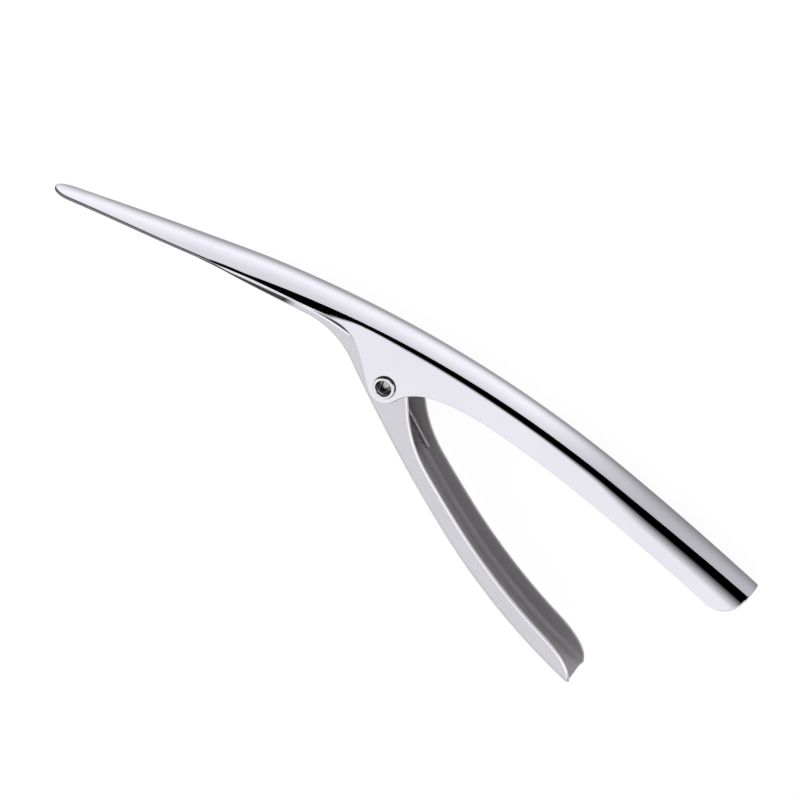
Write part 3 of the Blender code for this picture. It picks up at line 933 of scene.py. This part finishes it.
def polished_steel():
    """Mirror-polished sheet: buffing lines, haze, a duller rim and inside, the inside darker also
    as painted shade, a painted dark reflection on the nose's rim and a painted shadow line where
    the lever nests.
    """
    nodes = Nodes("polished_steel")
    nodes.shader.inputs["Metallic"].default_value = 1
    inside = nodes.attribute("inside")
    rim = nodes.attribute("rim")
    along, _ = nodes.along_and_across()
    buffing = nodes.noise(nodes.on_sheet(), BUFFING_GRAIN, 3)
    haze = nodes.noise(nodes.in_space(), POLISHED_HAZE_GRAIN, 4)
    lines = nodes.spread(buffing, 0.35, 0.75, 0, 0.02)
    smudges = nodes.spread(haze, 0.45, 0.75, 0.015, 0.05)
    finish = nodes.calculate("ADD", lines, smudges)
    worn = nodes.calculate("MULTIPLY", rim, 0.14)
    dull = nodes.calculate("MULTIPLY", inside, 0.2)
    rough = nodes.calculate("ADD", nodes.calculate("ADD", finish, worn), dull)
    nodes.link(rough, nodes.shader.inputs["Roughness"])
    tone = nodes.spread(haze, 0.3, 0.7, 0, 1)
    outside = nodes.blend(tone, POLISHED_LIGHT, POLISHED_SHADE)
    # The inside is duller sheet, and darker also as painted shade.
    sheet = nodes.blend(inside, outside, POLISHED_INSIDE_DULL_AND_SHADED)
    # Painted dark reflection on the shell's rim towards the nose.
    nose = nodes.spread(along, NOSE_REFLECTION_TO_X, NOSE_BRIGHT_FROM_X, 1, 0)
    edge = nodes.blend(nodes.calculate("MULTIPLY", rim, nose), sheet, NOSE_RIM_PAINTED_REFLECTION)
    # Painted shadow line on the shell's rim where the lever nests under it: on the inner rounding,
    # and further back on the whole rim.
    front = nodes.spread(along, NEST_START_X, NEST_FULL_X, 0, 1)
    rear = nodes.spread(along, NEST_FADE_X, NEST_END_X, 1, 0)
    nest_rim = nodes.calculate("MULTIPLY", nodes.calculate("MULTIPLY", front, rear), rim)
    whole = nodes.spread(along, WHOLE_RIM_START_X, WHOLE_RIM_FULL_X, 0, 1)
    nest_shadow = nodes.calculate("MULTIPLY", nest_rim, nodes.calculate("MAXIMUM", inside, whole))
    colour = nodes.blend(nest_shadow, edge, NEST_SHADOW_LINE)
    nodes.link(colour, nodes.shader.inputs["Base Color"])
    nodes.bump(buffing, 0.03, 0.02 * MM)
    return nodes.material


def satin_steel():
    """Satin sheet brushed lengthwise: painted highlight on the rims, a duller channel darker also
    as painted shade, painted dark reflection along the jaw's edges.
    """
    nodes = Nodes("satin_steel")
    nodes.shader.inputs["Metallic"].default_value = 1
    brushing = nodes.noise(nodes.on_sheet(), BRUSHING_GRAIN, 5)
    haze = nodes.noise(nodes.in_space(), SATIN_HAZE_GRAIN, 4)
    inside = nodes.attribute("inside")
    rim = nodes.attribute("rim")
    along, across = nodes.along_and_across()
    # Painted dark reflection on the lower jaw's sides.
    jaw = nodes.spread(along, JAW_DARK_TO_X, JAW_LIGHT_FROM_X, 1, 0)
    side = nodes.spread(across, JAW_SIDE_FROM, JAW_SIDE_FULL, 0, 1)
    lines = nodes.spread(brushing, 0.3, 0.75, 0.27, 0.38)
    patches = nodes.spread(haze, 0.35, 0.75, 0, 0.06)
    finish = nodes.calculate("ADD", lines, patches)
    dull = nodes.calculate("MULTIPLY", inside, 0.38)
    worn = nodes.calculate("MULTIPLY", rim, -0.2)
    rough = nodes.calculate("ADD", nodes.calculate("ADD", finish, dull), worn)
    nodes.link(rough, nodes.shader.inputs["Roughness"])
    tone = nodes.spread(brushing, 0.3, 0.75, 0, 1)
    outside = nodes.blend(tone, SATIN_LIGHT, SATIN_SHADE)
    # Painted highlight along the rims and the walls' outer edge.
    wall_edge = nodes.spread(across, WALL_EDGE_FROM, WALL_EDGE_FULL, 0, 1)
    rim_highlight = nodes.calculate("MAXIMUM", rim, wall_edge)
    outer_rim_highlight = nodes.calculate("MULTIPLY", rim_highlight, nodes.calculate("SUBTRACT", 1, inside))
    bright = nodes.blend(outer_rim_highlight, outside, SATIN_RIM_HIGHLIGHT)
    jaw_side_reflection = nodes.blend(nodes.calculate("MULTIPLY", jaw, side), bright, JAW_DARK_REFLECTION)
    # The channel is duller sheet, and darker also as painted shade.
    sheet = nodes.blend(inside, jaw_side_reflection, SATIN_CHANNEL_DULL_AND_SHADED)
    # Painted dark reflection on the lower jaw's rim.
    jaw_rim_reflection = nodes.calculate("MULTIPLY", jaw, rim)
    colour = nodes.blend(jaw_rim_reflection, sheet, JAW_DARK_REFLECTION)
    nodes.link(colour, nodes.shader.inputs["Base Color"])
    nodes.bump(brushing, 0.08, 0.03 * MM)
    return nodes.material


def rivet_steel(middle):
    """Bright turned steel: fine grain, a band of painted shade inside each mouth, painted shadow in
    the crevices at its feet.
    """
    nodes = Nodes("rivet_steel")
    nodes.shader.inputs["Metallic"].default_value = 1
    grain = nodes.noise(nodes.in_space(), TURNING_GRAIN, 4)
    nodes.link(nodes.spread(grain, 0.3, 0.75, 0.04, 0.1), nodes.shader.inputs["Roughness"])
    outside = nodes.blend(grain, RIVET_LIGHT, RIVET_SHADE)
    # Painted shade in a band inside each mouth of the bore.
    parts = nodes.add("ShaderNodeSeparateXYZ")
    nodes.link(nodes.in_space(), parts.inputs["Vector"])
    depth = nodes.calculate("SUBTRACT", parts.outputs["Z"], middle)
    from_middle = nodes.calculate("ABSOLUTE", depth, 0)
    inner = nodes.spread(from_middle, BORE_SHADE_FROM, BORE_SHADE_FROM + BORE_SHADE_FADE, 0, 1)
    outer = nodes.spread(from_middle, BORE_SHADE_TO - BORE_SHADE_FADE, BORE_SHADE_TO, 1, 0)
    band = nodes.calculate("MULTIPLY", inner, outer)
    dull = nodes.calculate("MULTIPLY", band, nodes.attribute("bore"))
    shaded_bore = nodes.blend(dull, outside, BORE_SHADE)
    # Painted shadow in the crevice at the foot of each rolled rim.
    colour = nodes.blend(nodes.attribute("foot"), shaded_bore, RIVET_FOOT_SHADOW)
    nodes.link(colour, nodes.shader.inputs["Base Color"])
    nodes.bump(grain, 0.04, 0.02 * MM)
    return nodes.material


def spring_steel():
    """Drawn wire with a fine, uneven grain."""
    nodes = Nodes("spring_steel")
    nodes.shader.inputs["Metallic"].default_value = 1
    grain = nodes.noise(nodes.in_space(), WIRE_GRAIN, 4)
    nodes.link(nodes.spread(grain, 0.3, 0.75, 0.24, 0.4), nodes.shader.inputs["Roughness"])
    colour = nodes.blend(grain, WIRE_LIGHT, WIRE_SHADE)
    nodes.link(colour, nodes.shader.inputs["Base Color"])
    nodes.bump(grain, 0.1, 0.02 * MM)
    return nodes.material


# Studio

FLOOR_HALF = 6.0
TABLE_GLOW = 0.93
TABLE_COLOUR = (0.09, 0.09, 0.09, 1)
SCREEN_DISTANCE = 0.9
SCREEN_STEPS = 360
SCREEN_LEVELS = 16
# Azimuth from +Y towards -X, elevation where the black ends and where it has faded to white.
SCREEN_STATIONS = (
    (-30, 30, 70),
    (-11.5, 30, 70),
    (-9, 31, 62),
    (-4.7, 26, 44),
    (4.3, 27, 36),
    (12.5, 23, 33),
    (17.7, 20, 30),
    (21.2, 17, 24),
    (22.5, 19, 24),
    (23.7, 26, 31),
    (24.8, 32.5, 37),
    (25.8, 36, 40.5),
    (28.5, 46, 50),
    (31.5, 52, 56),
    (34.2, 57, 61),
    (37, 61, 64),
    (70, 60, 66),
    (95, 20, 30),
    (120, 0, 5),
    (200, 0, 5),
    (208, 30, 38),
    (225, 30, 38),
    (288, 20, 30),
    (298, 0, 5),
    (322, 0, 5),
    (330, 30, 70),
)
# Distance from the crown in +Y in mm, and how bright the table looks there beside the nose,
# beside the rivet and beside the handle's end: the tool's painted shadow near it, painted light
# just beyond, and painted shade towards the handle's end.
TABLE_STATIONS = (
    (-880, 0.85, 0.85, 0.85),
    (-60, 0.75, 0.85, 0.85),
    (-30, 0.3, 0.85, 0.85),
    (-14, 0.3, 0.75, 0.6),
    (-4, 0.33, 0.34, 0.25),
    (-0.5, 0.4, 0.4, 0.28),
    (1.2, 0.57, 0.5, 0.32),
    (3, 0.82, 0.78, 0.37),
    (5.5, 1.04, 1.0, 0.43),
    (9, 1.13, 1.12, 0.5),
    (13, 1.06, 1.1, 0.55),
    (20, 0.98, 1.05, 0.58),
    (36, 0.88, 0.95, 0.6),
    (160, 0.8, 0.8, 0.58),
    (880, 0.8, 0.8, 0.58),
)
TABLE_NOSE_X = -50 * MM
TABLE_RIVET_FROM_X = -15 * MM
TABLE_RIVET_TO_X = 25 * MM
TABLE_END_X = 75 * MM
TABLE_CARD_HALF = 0.8
TABLE_CARD_STEP = 10 * MM
TABLE_CARD_Z = 0.15 * MM
CAMERA_ELEVATION = 60.0
CAMERA_ROLL = 219.3
CAMERA_LENS = 500.0
SENSOR_WIDTH = 36.0
VIEW_WIDTH = 202 * MM
AIM_RIGHT = 4.29 * MM
AIM_UP = -2.78 * MM


def make_floor():
    """A pale table that shines evenly through, so shadows on it stay faint."""
    mesh = bpy.data.meshes.new("floor")
    corners = [(-1, -1), (1, -1), (1, 1), (-1, 1)]
    mesh.from_pydata([(x * FLOOR_HALF, y * FLOOR_HALF, 0) for x, y in corners], [], [(0, 1, 2, 3)])
    nodes = Nodes("pale_table")
    nodes.shader.inputs["Base Color"].default_value = TABLE_COLOUR
    nodes.shader.inputs["Roughness"].default_value = 1
    nodes.shader.inputs["Specular IOR Level"].default_value = 0
    nodes.shader.inputs["Emission Color"].default_value = (1, 1, 1, 1)
    nodes.shader.inputs["Emission Strength"].default_value = TABLE_GLOW
    mesh.materials.append(nodes.material)
    floor = bpy.data.objects.new("floor", mesh)
    bpy.context.scene.collection.objects.link(floor)


def glow_material(name):
    """Light by the mesh's own glow attribute."""
    nodes = Nodes(name)
    nodes.shader.inputs["Base Color"].default_value = (0, 0, 0, 1)
    nodes.shader.inputs["Specular IOR Level"].default_value = 0
    nodes.shader.inputs["Emission Color"].default_value = (1, 1, 1, 1)
    nodes.link(nodes.attribute("glow"), nodes.shader.inputs["Emission Strength"])
    return nodes.material


def make_reflected(name, lines):
    """A studio surface of lines of (point, glow), seen only in the tool's polished faces."""
    count = len(lines[0])
    vertices = [point for line in lines for point, _ in line]
    faces = []
    for i in range(len(lines) - 1):
        for j in range(count - 1):
            a = i * count + j
            faces.append((a, a + 1, a + count + 1, a + count))
    mesh = bpy.data.meshes.new(name)
    mesh.from_pydata(vertices, [], faces)
    glows = [glow for line in lines for _, glow in line]
    mesh.attributes.new("glow", "FLOAT", "POINT").data.foreach_set("value", glows)
    mesh.materials.append(glow_material(name))
    surface = bpy.data.objects.new(name, mesh)
    surface.visible_camera = False
    surface.visible_diffuse = False
    surface.visible_shadow = False
    bpy.context.scene.collection.objects.link(surface)


def between_stations(stations, place):
    """The values at a place between two of the stations."""
    for (start, *low), (end, *high) in zip(stations, stations[1:]):
        if place <= end:
            share = (place - start) / (end - start)
            return [a + (b - a) * share for a, b in zip(low, high)]
    return stations[-1][1:]


def make_screen():
    """A dark screen round the table whose top fades into the white tent."""
    lines = []
    first, last = SCREEN_STATIONS[0][0], SCREEN_STATIONS[-1][0]
    for i in range(SCREEN_STEPS + 1):
        azimuth = first + (last - first) * i / SCREEN_STEPS
        black_top, white_from = between_stations(SCREEN_STATIONS, azimuth)
        x = -SCREEN_DISTANCE * math.sin(math.radians(azimuth))
        y = SCREEN_DISTANCE * math.cos(math.radians(azimuth))
        line = [((x, y, 0), 0)]
        for k in range(SCREEN_LEVELS + 1):
            share = k / SCREEN_LEVELS
            elevation = math.radians(black_top + (white_from - black_top) * share)
            line.append(((x, y, SCREEN_DISTANCE * math.tan(elevation)), share))
        lines.append(line)
    make_reflected("black_screen", lines)


def make_table_card(pivot):
    """The table as the polished faces see it, with painted shadow: dim near the tool and towards
    the handle's end.
    """
    lines = []
    steps = round(2 * TABLE_CARD_HALF / TABLE_CARD_STEP)
    for i in range(steps + 1):
        x = -TABLE_CARD_HALF + TABLE_CARD_STEP * i
        crown_x = min(max(x, SHELL_TIP_X), SHELL_END_X)
        nose_share = 1 - smooth_step(TABLE_NOSE_X, TABLE_RIVET_FROM_X, x)
        end_share = smooth_step(TABLE_RIVET_TO_X, TABLE_END_X, x)
        line = []
        for distance, nose, rivet, end in TABLE_STATIONS:
            y = CROWN.y(crown_x) + distance * MM
            point = (pivot.x + x, pivot.y + y, TABLE_CARD_Z)
            # Painted shadow of the tool, painted light beyond it and painted shade towards the
            # handle's end.
            glow = rivet + nose_share * (nose - rivet) + end_share * (end - rivet)
            line.append((point, glow))
        lines.append(line)
    make_reflected("shadowed_table_card", lines)


def make_light():
    """A white tent of even soft light."""
    world = bpy.data.worlds.new("soft_tent")
    world.use_nodes = True
    background = world.node_tree.nodes["Background"]
    background.inputs["Color"].default_value = (1, 1, 1, 1)
    background.inputs["Strength"].default_value = 1.0
    bpy.context.scene.world = world
    bpy.context.scene.view_settings.view_transform = "Standard"


def make_camera(pivot):
    elevation = math.radians(CAMERA_ELEVATION)
    back = Vector((0, math.cos(elevation), math.sin(elevation)))
    level_right = Vector((0, 0, 1)).cross(back).normalized()
    turn = Matrix.Rotation(math.radians(CAMERA_ROLL), 3, back)
    right = turn @ level_right
    up = back.cross(right)
    rivet_top = pivot + Vector((0, 0, pivot.z))
    aim = rivet_top + right * AIM_RIGHT + up * AIM_UP
    distance = VIEW_WIDTH / 2 / (SENSOR_WIDTH / 2 / CAMERA_LENS)
    data = bpy.data.cameras.new("camera")
    data.lens = CAMERA_LENS
    data.sensor_width = SENSOR_WIDTH
    data.clip_start = distance / 10
    data.clip_end = distance * 20
    camera = bpy.data.objects.new("camera", data)
    camera.matrix_world = Matrix.Translation(aim + back * distance) @ Matrix(
        (right, up, back)
    ).transposed().to_4x4()
    bpy.context.scene.collection.objects.link(camera)
    bpy.context.scene.camera = camera


def main():
    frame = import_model()
    pivot = Vector(frame["joints"][0]["pos_m"])
    make_camera(pivot)
    make_floor()
    make_screen()
    make_table_card(pivot)
    make_light()
    make_upper_arm(pivot)
    make_lower_arm(pivot)
    make_rivet(pivot)
    make_spring(pivot)


main()
